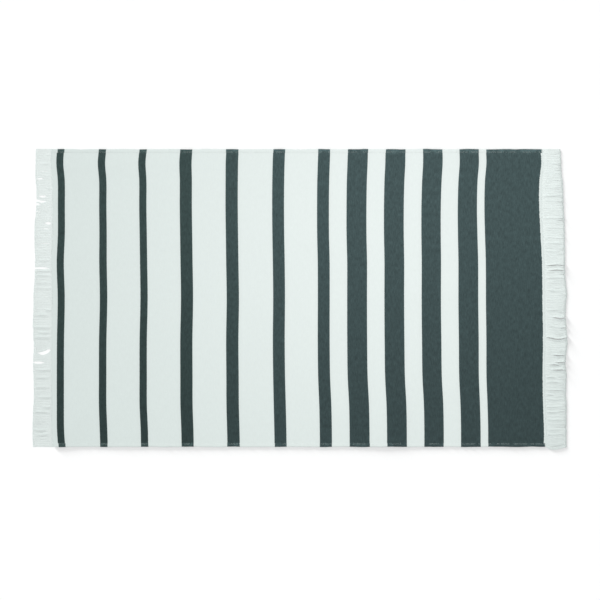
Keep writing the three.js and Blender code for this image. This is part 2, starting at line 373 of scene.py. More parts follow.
class Ripple:
    """An uneven line or field made of waves with seeded lengths, turns and phases.

    Its height at a point is the sum of cosines of the distance along each wave's direction
    over its length. A longer wave is higher in proportion to its length.
    """

    def __init__(self, seed: int, shortest: float, longest: float, count: int) -> None:
        """Draw the waves.

        Args:
            seed: of the draws.
            shortest: the shortest wave in millimetres.
            longest: the longest wave in millimetres.
            count: how many waves there are.
        """
        random = np.random.default_rng(seed)
        self.lengths = np.geomspace(shortest, longest, count)
        self.turns = random.uniform(0.0, math.pi, count)
        self.phases = random.uniform(0.0, 2.0 * math.pi, count)
        self.heights = self.lengths / math.sqrt(float(np.sum(self.lengths**2)) / 2.0)

    def along(self, x: Array) -> Array:
        """The waves along a line, about as high as 1 at most places."""
        angle = 2.0 * math.pi * x[..., None] / self.lengths + self.phases
        return np.sum(self.heights * np.cos(angle), axis=-1)

    def over(self, x: Array, y: Array) -> Array:
        """The waves over a field, each one in its own direction."""
        run = x[..., None] * np.cos(self.turns) + y[..., None] * np.sin(self.turns)
        angle = 2.0 * math.pi * run / self.lengths + self.phases
        return np.sum(self.heights * np.cos(angle), axis=-1)


@dataclass
class ClothForm:
    """The form in which the cloth lies: its shifted weft, its folds and its puckers."""

    wave_height: float = 0.1  # of the low waves in its upper face
    pucker_height: float = 0.3
    pucker_reach: float = 15.0  # from the stitches into the cloth
    pucker_raise: float = 0.35  # how far their waves are raised, so that more of them show
    rounding: float = 0.06  # of the cloth where it leaves the surface

    def __post_init__(self) -> None:
        """Draw the waves and the puckers."""
        self.waves = Ripple(seed=11, shortest=55.0, longest=340.0, count=13)
        self.puckers = {
            Side.FAR: Ripple(seed=23, shortest=13.0, longest=33.0, count=6),
            Side.NEAR: Ripple(seed=31, shortest=13.0, longest=33.0, count=6),
        }
        self.gathering = Ripple(seed=47, shortest=120.0, longest=520.0, count=4)

    def shift(self, x: Array, y: Array) -> Array:
        """How far the point woven at x, y lies shifted along X.

        In each row it goes straight from place to place along the towel, and from row to
        row it follows a smooth curve.

        Args:
            x: along the cloth as woven.
            y: across it.

        Returns:
            The shift in millimetres.
        """
        rows = np.array([row.y for row in SHIFTS], float)
        table = np.array([row.values() for row in SHIFTS], float)
        total = np.zeros(np.broadcast(x, y).shape)
        for place in range(len(SHIFT_PLACES)):
            hat = np.interp(x, SHIFT_PLACES, np.eye(len(SHIFT_PLACES))[place])
            total = total + hat * smooth_table(y, rows, table[:, place])
        return total

    def lift(self, x: Array, y: Array) -> Array:
        """Height of the cloth's underside over the surface.

        Every fold is a rounded crest that dies away along and across itself. Cloth that
        would stand lower than the foot lies flat, with a short round where it leaves the
        surface.
        """
        height = np.full(np.broadcast(x, y).shape, -FOLD_FOOT)
        for fold in FOLDS:
            turn = math.radians(fold.turn)
            right = x - fold.x
            up = y - fold.y
            along = (right * math.cos(turn) + up * math.sin(turn)) / fold.along
            across = (up * math.cos(turn) - right * math.sin(turn)) / fold.across
            height = height + fold.crest * np.exp(-0.5 * (along**2 + across**2))
        return 0.5 * (height + np.sqrt(height**2 + self.rounding**2))

    def pucker(self, x: Array, y: Array) -> Array:
        """Height that a hem's stitches gather the cloth to, beside them and under the hem.

        Uneven short waves along the hem, which the stitches leave in the cloth, die away
        from the line of stitches as a bell curve.
        """
        total = np.zeros(np.broadcast(x, y).shape)
        strength = 0.5 + 0.5 * np.clip(self.gathering.along(x), -1.0, 1.0)
        for side, ripple in self.puckers.items():
            inward = HALF_WIDTH - STITCH_IN - side.value * y
            bell = np.exp(-0.5 * (np.maximum(inward, 0.0) / self.pucker_reach) ** 2)
            waves = np.maximum(ripple.along(x) + self.pucker_raise, 0.0)
            total = total + bell * strength * waves
        return self.pucker_height * total

    def top(self, x: Array, y: Array) -> Array:
        """Height of the cloth's upper face."""
        wave = self.wave_height * self.waves.over(x, y)
        return self.lift(x, y) + WALL + wave + self.pucker(x, y)

    def weave_end(self, end: float, y: Array) -> Array:
        """X of the weave's end in each row."""
        return end + self.shift(np.full(np.shape(y), end), y)


class MeshDraft:
    """Points and faces of one piece, gathered as whole arrays and made into a mesh once."""

    def __init__(self, name: str, map_name: str) -> None:
        """Start an empty piece.

        Args:
            name: the piece's name.
            map_name: the name of its own map, which its pattern follows.
        """
        self.name = name
        self.map_name = map_name
        self.points: list[Array] = []
        self.faces: list[Array] = []
        self.maps: list[Array] = []
        self.smooth: list[Array] = []
        self.count = 0

    def add(
        self,
        points: Array,
        faces: list[Array],
        maps: list[Array],
        smooth: tuple[bool, ...] = (True, True, True),
    ) -> None:
        """Add points, groups of faces with as many corners each, and each corner's map place.

        Args:
            points: count x 3, in millimetres.
            faces: arrays of faces x corners, numbered from these points' first.
            maps: arrays of faces x corners x 2, in the order of faces.
            smooth: which of those arrays of faces are shaded smooth.
        """
        self.points.append(points.reshape(-1, 3))
        for group, places, soft in zip(faces, maps, smooth, strict=True):
            self.faces.append(group + self.count)
            self.maps.append(places)
            self.smooth.append(np.full(len(group), soft))
        self.count += points.size // 3

    def add_tubes(self, points: Array, along: Array, numbers: Array) -> None:
        """Add closed tubes of equal counts, each ended by a crisp flat face at both ends.

        A quad joins two neighbouring points of a ring to those of the next ring, and the
        rings run counterclockwise about the way that the tube goes.

        Args:
            points: tubes x rings x sides x 3, in millimetres.
            along: tubes x rings, the first map coordinate.
            numbers: tubes, whose whole part tells the tubes apart in the second one.
        """
        tubes, rings, sides, _ = points.shape
        tube, ring, side = np.meshgrid(
            np.arange(tubes), np.arange(rings - 1), np.arange(sides), indexing="ij"
        )
        corners = []
        places = []
        for step, turn in ((0, 0), (0, 1), (1, 1), (1, 0)):
            corners.append((tube * rings + ring + step) * sides + (side + turn) % sides)
            around = numbers[tube] + (side + turn) / sides
            places.append(np.stack([along[tube, ring + step], around], axis=-1))
        quads = np.stack(corners, axis=-1).reshape(-1, 4)
        quad_map = np.stack(places, axis=-2).reshape(-1, 4, 2)
        first = np.arange(tubes)[:, None] * rings * sides
        order = np.arange(sides)
        start = first + order[::-1]
        finish = first + (rings - 1) * sides + order
        start_map = self._cap_map(along[:, 0], numbers, order[::-1] / sides)
        finish_map = self._cap_map(along[:, -1], numbers, order / sides)
        maps = [quad_map, start_map, finish_map]
        self.add(points, [quads, start, finish], maps, smooth=(True, False, False))

    @staticmethod
    def _cap_map(along: Array, numbers: Array, around: Array) -> Array:
        """Map places of the face that ends each tube."""
        flat = np.broadcast_to(along[:, None], (len(along), len(around)))
        return np.stack([flat, numbers[:, None] + around], axis=-1)

    def build(self) -> bpy.types.Object:
        """Make the mesh and its object, at the origin with its place in its mesh.

        Returns:
            The new object, linked to the scene.
        """
        points = np.concatenate(self.points) * METRE
        corners = np.concatenate([group.ravel() for group in self.faces])
        counts = np.concatenate([np.full(len(g), g.shape[1]) for g in self.faces])
        starts = np.concatenate([[0], np.cumsum(counts)[:-1]])
        mesh = bpy.data.meshes.new(self.name)
        mesh.vertices.add(len(points))
        mesh.vertices.foreach_set("co", points.astype(np.float32).ravel())
        mesh.loops.add(len(corners))
        mesh.loops.foreach_set("vertex_index", corners.astype(np.int32))
        mesh.polygons.add(len(counts))
        mesh.polygons.foreach_set("loop_start", starts.astype(np.int32))
        mesh.polygons.foreach_set("use_smooth", np.concatenate(self.smooth))
        layer = mesh.uv_layers.new(name=self.map_name)
        places = np.concatenate([group.reshape(-1, 2) for group in self.maps])
        layer.uv.foreach_set("vector", places.astype(np.float32).ravel())
        mesh.update(calc_edges=True)
        mesh.validate()
        piece = bpy.data.objects.new(self.name, mesh)
        bpy.context.scene.collection.objects.link(piece)
        return piece


def add_loft(draft: MeshDraft, points: Array, places: Array) -> None:
    """Add a closed shell lofted through rings along +X, with an end of quads at both ends.

    A ring has its lower points towards +Y and then its upper points back, as many as the
    lower ones and each one over its lower point.

    Args:
        draft: the piece that takes it.
        points: rings x sides x 3, in millimetres.
        places: rings x sides x 2, each point's map place.
    """
    rings, sides, _ = points.shape
    ring, side = np.meshgrid(np.arange(rings - 1), np.arange(sides), indexing="ij")
    after = (side + 1) % sides
    quads = np.stack(
        [
            ring * sides + side,
            ring * sides + after,
            (ring + 1) * sides + after,
            (ring + 1) * sides + side,
        ],
        axis=-1,
    ).reshape(-1, 4)
    low = np.arange(sides // 2 - 1)
    over = sides - 1 - low
    last = (rings - 1) * sides
    start = np.stack([over, over - 1, low + 1, low], axis=-1)
    finish = last + np.stack([low, low + 1, over - 1, over], axis=-1)
    flat = places.reshape(-1, 2)
    draft.add(points, [quads, start, finish], [flat[quads], flat[start], flat[finish]])


# Shader nodes


@dataclass(frozen=True)
class Grain:
    """Noise in the cotton, with features so many millimetres apart along X and Y."""

    along: float
    across: float
    detail: float = 1.0
    roughness: float = 0.5


PICK_WANDER = Grain(along=9.0, across=31.0)
SLUBS = Grain(along=3.2, across=15.0, detail=3.0, roughness=0.55)
MOTTLING = Grain(along=13.0, across=21.0, detail=4.0, roughness=0.65)
FRAYING = Grain(along=6.0, across=2.4)
PICK_STRAY = 2.2  # how far a pick wanders along X
SLUB_RELIEF = 1.3  # how high the slubs stand, where a pick's own wave is 1 high
WARP_SHOWING = (0.45, 0.95)  # how far an end rises over a pick where it shows, first and fully
SLUB_RANGE = (0.2, 0.8)  # between which most of the slubs' noise lies
MOTTLE_RANGE = (0.3, 0.7)  # and most of the mottling's
PLIES = 2.0
SPUN_LENGTH = 6.0  # of a yarn's thick and thin places
SPUN_DETAIL = 3.0
SPUN_ROUGHNESS = 0.6
SPUN_RANGE = (0.25, 0.75)
YARN_APART = 0.9  # two neighbouring yarns, in the noise that shades them


class Nodes:
    """A thin hand on a node tree: each method adds one node and returns its output."""

    def __init__(self, tree: bpy.types.NodeTree) -> None:
        """Take the tree that the nodes go into."""
        self.tree = tree

    def set(self, socket: Socket, value: Socket | float | Colour) -> None:
        """Link a socket to another, or give it a fixed value."""
        if isinstance(value, bpy.types.NodeSocket):
            self.tree.links.new(value, socket)
        else:
            socket.default_value = value

    def math(self, operation: str, a: Socket | float, b: Socket | float = 0.0) -> Socket:
        """A Math node of one or two values."""
        node = self.tree.nodes.new("ShaderNodeMath")
        node.operation = operation
        self.set(node.inputs[0], a)
        self.set(node.inputs[1], b)
        return node.outputs[0]

    def ramp(self, value: Socket, low: float, high: float, to: Pair = (0.0, 1.0)) -> Socket:
        """A smooth rise of value from low to high, put out between the two ends of to."""
        node = self.tree.nodes.new("ShaderNodeMapRange")
        node.interpolation_type = "SMOOTHSTEP"
        self.set(node.inputs["Value"], value)
        node.inputs["From Min"].default_value = low
        node.inputs["From Max"].default_value = high
        node.inputs["To Min"].default_value = to[0]
        node.inputs["To Max"].default_value = to[1]
        return node.outputs[0]

    def separate(self, vector: Socket) -> tuple[Socket, Socket, Socket]:
        """The three values of a vector."""
        node = self.tree.nodes.new("ShaderNodeSeparateXYZ")
        self.set(node.inputs[0], vector)
        return node.outputs[0], node.outputs[1], node.outputs[2]

    def combine(self, x: Socket | float, y: Socket | float, z: Socket | float = 0.0) -> Socket:
        """A vector of three values."""
        node = self.tree.nodes.new("ShaderNodeCombineXYZ")
        for socket, value in zip(node.inputs, (x, y, z), strict=True):
            self.set(socket, value)
        return node.outputs[0]

    def noise(self, vector: Socket, detail: float, roughness: float) -> Socket:
        """Noise about 0.5, with features one unit of the vector apart."""
        node = self.tree.nodes.new("ShaderNodeTexNoise")
        self.set(node.inputs["Vector"], vector)
        node.inputs["Scale"].default_value = 1.0
        node.inputs["Detail"].default_value = detail
        node.inputs["Roughness"].default_value = roughness
        return node.outputs[0]

    def grain(self, along: Socket, across: Socket, grain: Grain) -> Socket:
        """Noise about 0.5 over the piece's own map."""
        place = self.combine(
            self.math("DIVIDE", along, grain.along), self.math("DIVIDE", across, grain.across)
        )
        return self.noise(place, grain.detail, grain.roughness)

    def mix(
        self, share: Socket | float, a: Socket | Colour, b: Socket | Colour, blend: str = "MIX"
    ) -> Socket:
        """A Mix node of two colours."""
        node = self.tree.nodes.new("ShaderNodeMix")
        node.data_type = "RGBA"
        node.blend_type = blend
        sockets = {socket.identifier: socket for socket in node.inputs}
        self.set(sockets["Factor_Float"], share)
        self.set(sockets["A_Color"], a)
        self.set(sockets["B_Color"], b)
        return next(s for s in node.outputs if s.identifier == "Result_Color")

    def shade(self, colour: Socket, value: Socket) -> Socket:
        """A colour times a value that is the same for red, green and blue."""
        grey = self.tree.nodes.new("ShaderNodeCombineColor")
        for socket in grey.inputs:
            self.set(socket, value)
        return self.mix(1.0, colour, grey.outputs[0], "MULTIPLY")

    def group(self, tree: bpy.types.NodeTree, **values: Socket | float) -> bpy.types.Node:
        """A group node with its inputs set by name, with _ for a space."""
        node = self.tree.nodes.new("ShaderNodeGroup")
        node.node_tree = tree
        for name, value in values.items():
            self.set(node.inputs[name.replace("_", " ")], value)
        return node

    def own_map(self, name: str) -> Socket:
        """The piece's own map, in millimetres along it."""
        node = self.tree.nodes.new("ShaderNodeUVMap")
        node.uv_map = name
        return node.outputs[0]

    def bump(self, height: Socket, distance: float) -> Socket:
        """A Bump node whose height is in units of distance, in metres."""
        node = self.tree.nodes.new("ShaderNodeBump")
        node.inputs["Distance"].default_value = distance
        self.set(node.inputs["Height"], height)
        return node.outputs[0]


def new_group(
    name: str, inputs: tuple[str, ...], outputs: tuple[str, ...]
) -> tuple[bpy.types.NodeTree, Nodes, bpy.types.Node, bpy.types.Node]:
    """An empty shader node group with its sockets, all of them values.

    Args:
        name: the group's name.
        inputs: name of each input.
        outputs: name of each output.

    Returns:
        The group, its Nodes, its input node and its output node.
    """
    tree = bpy.data.node_groups.new(name, "ShaderNodeTree")
    for way, titles in (("INPUT", inputs), ("OUTPUT", outputs)):
        for title in titles:
            tree.interface.new_socket(name=title, in_out=way, socket_type="NodeSocketFloat")
    source = tree.nodes.new("NodeGroupInput")
    target = tree.nodes.new("NodeGroupOutput")
    return tree, Nodes(tree), source, target


def stripe_group() -> bpy.types.NodeTree:
    """Distance to the nearest dark stripe, less than 0 inside it.

    For each stripe it is the distance to the stripe's middle less half of its width, and
    the least of them all is put out.
    """
    tree, nodes, source, target = new_group("Stripe distance", ("Along",), ("Distance",))
    nearest: Socket | float = TOWEL_LENGTH
    for stripe in STRIPES:
        middle = (stripe.start + stripe.end) / 2
        half = (stripe.end - stripe.start) / 2
        away = nodes.math("SUBTRACT", source.outputs["Along"], middle)
        outside = nodes.math("SUBTRACT", nodes.math("ABSOLUTE", away), half)
        nearest = nodes.math("MINIMUM", outside, nearest)
    tree.links.new(nearest, target.inputs["Distance"])
    return tree


def weave_group() -> bpy.types.NodeTree:
    """A flat weave in which thick weft picks nearly cover the warp.

    One sine has a half wave for each pick, the other one for each warp end, and their
    product is 1 where a pick passes over an end and -1 where the end passes over the pick.
    Picks wander and differ in thickness along themselves, as spun cotton does.
    """
    tree, nodes, source, target = new_group(
        "Flat weave", ("Along", "Across"), ("Height", "Warp", "Slub", "Mottle", "Fray")
    )
    along = source.outputs["Along"]
    across = source.outputs["Across"]
    wander = nodes.grain(along, across, PICK_WANDER)
    drawn = nodes.math("ADD", along, nodes.math("MULTIPLY", wander, PICK_STRAY))
    pick = nodes.math("SINE", nodes.math("MULTIPLY", drawn, math.pi / WEFT_PITCH))
    end = nodes.math("SINE", nodes.math("MULTIPLY", across, math.pi / WARP_PITCH))
    over = nodes.math("MULTIPLY", pick, end)
    slub = nodes.grain(along, across, SLUBS)
    thick = nodes.math("MULTIPLY", nodes.math("SUBTRACT", slub, 0.5), SLUB_RELIEF)
    results = {
        "Height": nodes.math("ADD", nodes.math("MULTIPLY", over, 0.5), thick),
        "Warp": nodes.ramp(nodes.math("MULTIPLY", over, -1.0), *WARP_SHOWING),
        "Slub": slub,
        "Mottle": nodes.grain(along, across, MOTTLING),
        "Fray": nodes.grain(along, across, FRAYING),
    }
    for title, result in results.items():
        tree.links.new(result, target.inputs[title])
    return tree


def twist_group() -> bpy.types.NodeTree:
    """The plies of a spun yarn or thread.

    A sine of the place along the yarn over the twist's lay, and of the place around it,
    gives the plies, and noise along the yarn gives its thick and thin places.
    """
    tree, nodes, source, target = new_group(
        "Yarn twist", ("Along", "Around", "Lay"), ("Height", "Shade")
    )
    along = source.outputs["Along"]
    around = source.outputs["Around"]
    turns = nodes.math("DIVIDE", along, source.outputs["Lay"])
    plies = nodes.math("ADD", turns, nodes.math("MULTIPLY", around, PLIES))
    ply = nodes.math("SINE", nodes.math("MULTIPLY", plies, 2.0 * math.pi))
    place = nodes.combine(
        nodes.math("DIVIDE", along, SPUN_LENGTH), nodes.math("MULTIPLY", around, YARN_APART)
    )
    shade = nodes.noise(place, SPUN_DETAIL, SPUN_ROUGHNESS)
    height = nodes.math("ADD", nodes.math("MULTIPLY", ply, 0.5), shade)
    tree.links.new(height, target.inputs["Height"])
    tree.links.new(shade, target.inputs["Shade"])
    return tree


@dataclass(frozen=True)
class ShaderKit:
    """The node groups that the finishes share."""

    stripes: bpy.types.NodeTree
    weave: bpy.types.NodeTree
    twist: bpy.types.NodeTree


def new_material(name: str) -> tuple[bpy.types.Material, Nodes, bpy.types.Node]:
    """A material with its nodes.

    Args:
        name: the material's name.

    Returns:
        The material, its Nodes and its Principled BSDF.
    """
    material = bpy.data.materials.new(name)
    material.use_nodes = True
    shader = material.node_tree.nodes["Principled BSDF"]
    return material, Nodes(material.node_tree), shader


@dataclass(frozen=True)
class ClothFinish:
    """Striped cotton: cream ground and slate stripes, both woven over a cream warp.

    The slate is painted lighter in the right half and towards the far side, and darker
    towards the near side: painted light and shade. A pair of places says where a change of
    the colour begins and where it is complete.
    """

    cream: Colour = (0.620, 0.698, 0.677, 1.0)
    slate: Colour = (0.0272, 0.0475, 0.0456, 1.0)
    # the slate's painted lit copy, for where more light falls
    slate_painted_lit: Colour = (0.0371, 0.0625, 0.0638, 1.0)
    painted_light_along: Pair = (-480.0, -60.0)  # along X, from the slate to its painted lit copy
    show_through: float = 0.02  # how much of the warp shows between the picks
    far_side_painted_light: float = 0.16  # painted light on the dark at the far side, and painted shade as deep on the near side
    far_reach: float = 560.0  # from the middle to where it is so much paler
    bleed: float = 0.09  # how much paler the dark is beside its edge
    bleed_reach: float = 9.0
    tint: float = 0.035  # and how much deeper the ground is there
    tint_reach: float = 14.0
    far_fold_lightening: float = 0.9  # how much paler the dark is at the far fold
    far_fold_reach: float = 22.0
    near_fold_lightening: Pair = (0.95, 0.25)  # and at the near one, at the left and at the right
    near_fold_along: Pair = (-700.0, 500.0)
    near_fold_across: Pair = (-490.0, -482.5)
    fold_patches: Pair = (0.25, 0.95)  # the least and the most of that lightening from patch to patch
    edge_spread: float = 0.4  # how far the dark picks spread over a stripe's edge
    edge_softness: float = 0.6
    edge_fray: float = 1.0  # how far a stripe's edge wanders
    last_edge_fray: float = 5.0  # and the edge beside the right fringe
    last_edge: Pair = (760.0, 790.0)  # along X, where the one goes over into the other
    mottle_share: float = 0.7  # of the mottling over the streaks
    ground_share: float = 0.08  # of both on the ground over those on the dark
    roughness: float = 0.86
    roughness_spread: float = 0.06
    shine: float = 0.12
    sheen: float = 0.05
    sheen_roughness: float = 0.5
    weave_relief: float = 0.00016  # in metres
    map_name: str = "weave"

    def build(self, kit: ShaderKit) -> bpy.types.Material:
        """Make the material.

        Args:
            kit: the shared node groups.

        Returns:
            The material.
        """
        material, nodes, shader = new_material("striped_cotton")
        along, across, _ = nodes.separate(nodes.own_map(self.map_name))
        weave = nodes.group(kit.weave, Along=along, Across=across)
        stripes = nodes.group(kit.stripes, Along=along)
        dark = self._dark(nodes, along, weave, stripes)
        # painted light: the slate turns to its painted lit copy towards the right half
        slate_with_painted_light = nodes.mix(nodes.ramp(along, *self.painted_light_along), self.slate, self.slate_painted_lit)
        yarn = nodes.mix(dark, self.cream, slate_with_painted_light)
        warp = nodes.math("MULTIPLY", weave.outputs["Warp"], self.show_through)
        woven = nodes.mix(warp, yarn, self.cream)
        # the colour's own changes together with the painted light and shade over the towel
        tone_and_painted_light = self._dye_and_painted_light(nodes, along, across, weave, stripes, dark)
        shade = nodes.math("MULTIPLY", self._shade(nodes, weave, dark), tone_and_painted_light)
        nodes.set(shader.inputs["Base Color"], nodes.shade(woven, shade))
        least = self.roughness - self.roughness_spread
        most = self.roughness + self.roughness_spread
        rough = nodes.ramp(weave.outputs["Slub"], *SLUB_RANGE, (least, most))
        nodes.set(shader.inputs["Roughness"], rough)
        nodes.set(shader.inputs["Normal"], nodes.bump(weave.outputs["Height"], self.weave_relief))
        shader.inputs["Specular IOR Level"].default_value = self.shine
        shader.inputs["Sheen Weight"].default_value = self.sheen
        shader.inputs["Sheen Roughness"].default_value = self.sheen_roughness
        return material

    def _dye_and_painted_light(
        self,
        nodes: Nodes,
        along: Socket,
        across: Socket,
        weave: bpy.types.Node,
        stripes: bpy.types.Node,
        dark: Socket,
    ) -> Socket:
        """How the colours lighten and deepen over the towel, partly as painted light and shade.

        The dark carries painted light towards the far side and painted shade towards the near
        one. It also lightens beside its own edges and, unevenly, at both folds, and the ground
        is a little deeper beside a dark stripe.
        """
        distance = stripes.outputs["Distance"]
        # painted light and shade: the dark lighter towards the far side, darker towards the near
        # one
        strength = (-self.far_side_painted_light, self.far_side_painted_light)
        far = nodes.ramp(across, -self.far_reach, self.far_reach, strength)
        edge = nodes.ramp(distance, -self.bleed_reach, 0.0, (0.0, self.bleed))
        # the dark is lighter at both folds, unevenly from patch to patch
        far_fold_from = HALF_WIDTH - self.far_fold_reach
        far_fold = nodes.ramp(across, far_fold_from, HALF_WIDTH, (0.0, self.far_fold_lightening))
        near_fold = nodes.math(
            "MULTIPLY",
            nodes.ramp(along, *self.near_fold_along, self.near_fold_lightening),
            nodes.ramp(across, *self.near_fold_across, (1.0, 0.0)),
        )
        folds = nodes.math("ADD", far_fold, near_fold)
        patches = nodes.ramp(weave.outputs["Mottle"], *MOTTLE_RANGE, self.fold_patches)
        fold_lightening = nodes.math("MULTIPLY", folds, patches)
        paler_and_painted_light = nodes.math("ADD", nodes.math("ADD", far, edge), fold_lightening)
        ground = nodes.ramp(distance, 0.0, self.tint_reach, (-self.tint, 0.0))
        both = nodes.math("ADD", ground, nodes.math("MULTIPLY", paler_and_painted_light, dark))
        return nodes.math("ADD", both, 1.0)

    def _dark(
        self, nodes: Nodes, along: Socket, weave: bpy.types.Node, stripes: bpy.types.Node
    ) -> Socket:
        """1 on the dark stripes and 0 on the ground, with edges that follow the yarns."""
        fray = nodes.ramp(along, *self.last_edge, (self.edge_fray, self.last_edge_fray))
        wander = nodes.math("SUBTRACT", weave.outputs["Fray"], 0.5)
        edge = nodes.math(
            "ADD", stripes.outputs["Distance"], nodes.math("MULTIPLY", wander, fray)
        )
        inner = self.edge_spread - self.edge_softness
        outer = self.edge_spread + self.edge_softness
        return nodes.ramp(edge, inner, outer, (1.0, 0.0))

    def _shade(self, nodes: Nodes, weave: bpy.types.Node, dark: Socket) -> Socket:
        """How the yarn's streaks and mottling lighten or darken it, more on the dark ones."""
        slub = nodes.math("SUBTRACT", weave.outputs["Slub"], 0.5)
        mottle = nodes.math("SUBTRACT", weave.outputs["Mottle"], 0.5)
        both = nodes.math("ADD", slub, nodes.math("MULTIPLY", mottle, self.mottle_share))
        strength = nodes.ramp(dark, 0.0, 1.0, (self.ground_share, 1.0))
        return nodes.math("ADD", nodes.math("MULTIPLY", both, strength), 1.0)


@dataclass(frozen=True)
class YarnFinish:
    """Spun cream cotton: fringe yarns and sewing thread."""

    name: str
    colour: Colour
    lay: float  # length of one turn of the twist
    relief: float  # in metres
    near_end_painted_shade: float = 1.0  # painted shade at the near end of a fringe
    far_end_painted_light: float = 1.0  # and painted light at its far end
    palest: float = 1.05  # where the yarn is thick
    deepest: float = 0.94  # and where it is thin
    roughness: float = 0.88
    sheen: float = 0.12
    sheen_roughness: float = 0.5
    map_name: str = "yarn"

    def build(self, kit: ShaderKit) -> bpy.types.Material:
        """Make the material.

        Args:
            kit: the shared node groups.

        Returns:
            The material.
        """
        material, nodes, shader = new_material(self.name)
        along, around, _ = nodes.separate(nodes.own_map(self.map_name))
        twist = nodes.group(kit.twist, Along=along, Around=around, Lay=self.lay)
        share = nodes.ramp(twist.outputs["Shade"], *SPUN_RANGE)
        cotton = nodes.mix(share, self._toned(self.deepest), self._toned(self.palest))
        # painted light and shade along each fringe, darker at its near end, lighter at its far
        # one
        shade = nodes.ramp(around, 0.0, YARNS_PER_END, (self.near_end_painted_shade, self.far_end_painted_light))
        nodes.set(shader.inputs["Base Color"], nodes.shade(cotton, shade))
        nodes.set(shader.inputs["Normal"], nodes.bump(twist.outputs["Height"], self.relief))
        shader.inputs["Roughness"].default_value = self.roughness
        shader.inputs["Sheen Weight"].default_value = self.sheen
        shader.inputs["Sheen Roughness"].default_value = self.sheen_roughness
        return material

    def _toned(self, factor: float) -> Colour:
        """The yarn's colour times a factor, and 1 at most."""
        red, green, blue = (min(1.0, value * factor) for value in self.colour[:3])
        return red, green, blue, 1.0


# The towel's pieces


@dataclass
class Cloth:
    """The woven cloth, one closed thin shell that follows the form in which it lies."""

    form: ClothForm
    name: str = "woven_cloth"
    side: float = HALF_WIDTH - 1.5  # its edge lies inside the hem's fold
    column_step: float = 6.4
    row_step: float = 7.2
    hem_row_step: float = 4.0
    hem_reach: float = 44.0  # how far in from a side the rows are closer
    end_columns: Triple = (0.15, 0.6, 2.0)  # extra ones beside each end, which keep it crisp

    def build(self, finish: bpy.types.Material) -> bpy.types.Object:
        """Make the shell.

        The lower face is the height of the form's lift at each place of the grid, and the
        upper one that of its top, and both are moved along X by the weft's shift.

        Args:
            finish: the cloth's material.

        Returns:
            The piece.
        """
        x, y = np.meshgrid(self._columns(), self._rows(), indexing="ij")
        placed = x + self.form.shift(x, y)
        lower = np.stack([placed, y, self.form.lift(x, y)], axis=-1)
        upper = np.stack([placed, y, self.form.top(x, y)], axis=-1)
        flat = np.stack([x, y], axis=-1)
        draft = MeshDraft(self.name, ClothFinish.map_name)
        add_loft(
            draft,
            np.concatenate([lower, upper[:, ::-1]], axis=1),
            np.concatenate([flat, flat[:, ::-1]], axis=1),
        )
        piece = draft.build()
        piece.data.materials.append(finish)
        return piece

    def _columns(self) -> Array:
        """Columns along the cloth: even steps, and the extra ones at both ends."""
        count = round((CLOTH_END - CLOTH_START) / self.column_step) + 1
        even = np.linspace(CLOTH_START, CLOTH_END, count)
        extra = np.array(self.end_columns)
        return np.sort(np.concatenate([even, CLOTH_START + extra, CLOTH_END - extra]))

    def _rows(self) -> Array:
        """Rows across the cloth, closer to each other beside the hems."""
        inner = self.side - self.hem_reach
        close = np.linspace(inner, self.side, round(self.hem_reach / self.hem_row_step) + 1)
        wide = np.linspace(-inner, inner, round(2 * inner / self.row_step) + 1)
        return np.concatenate([-close[:0:-1], wide, close[1:]])


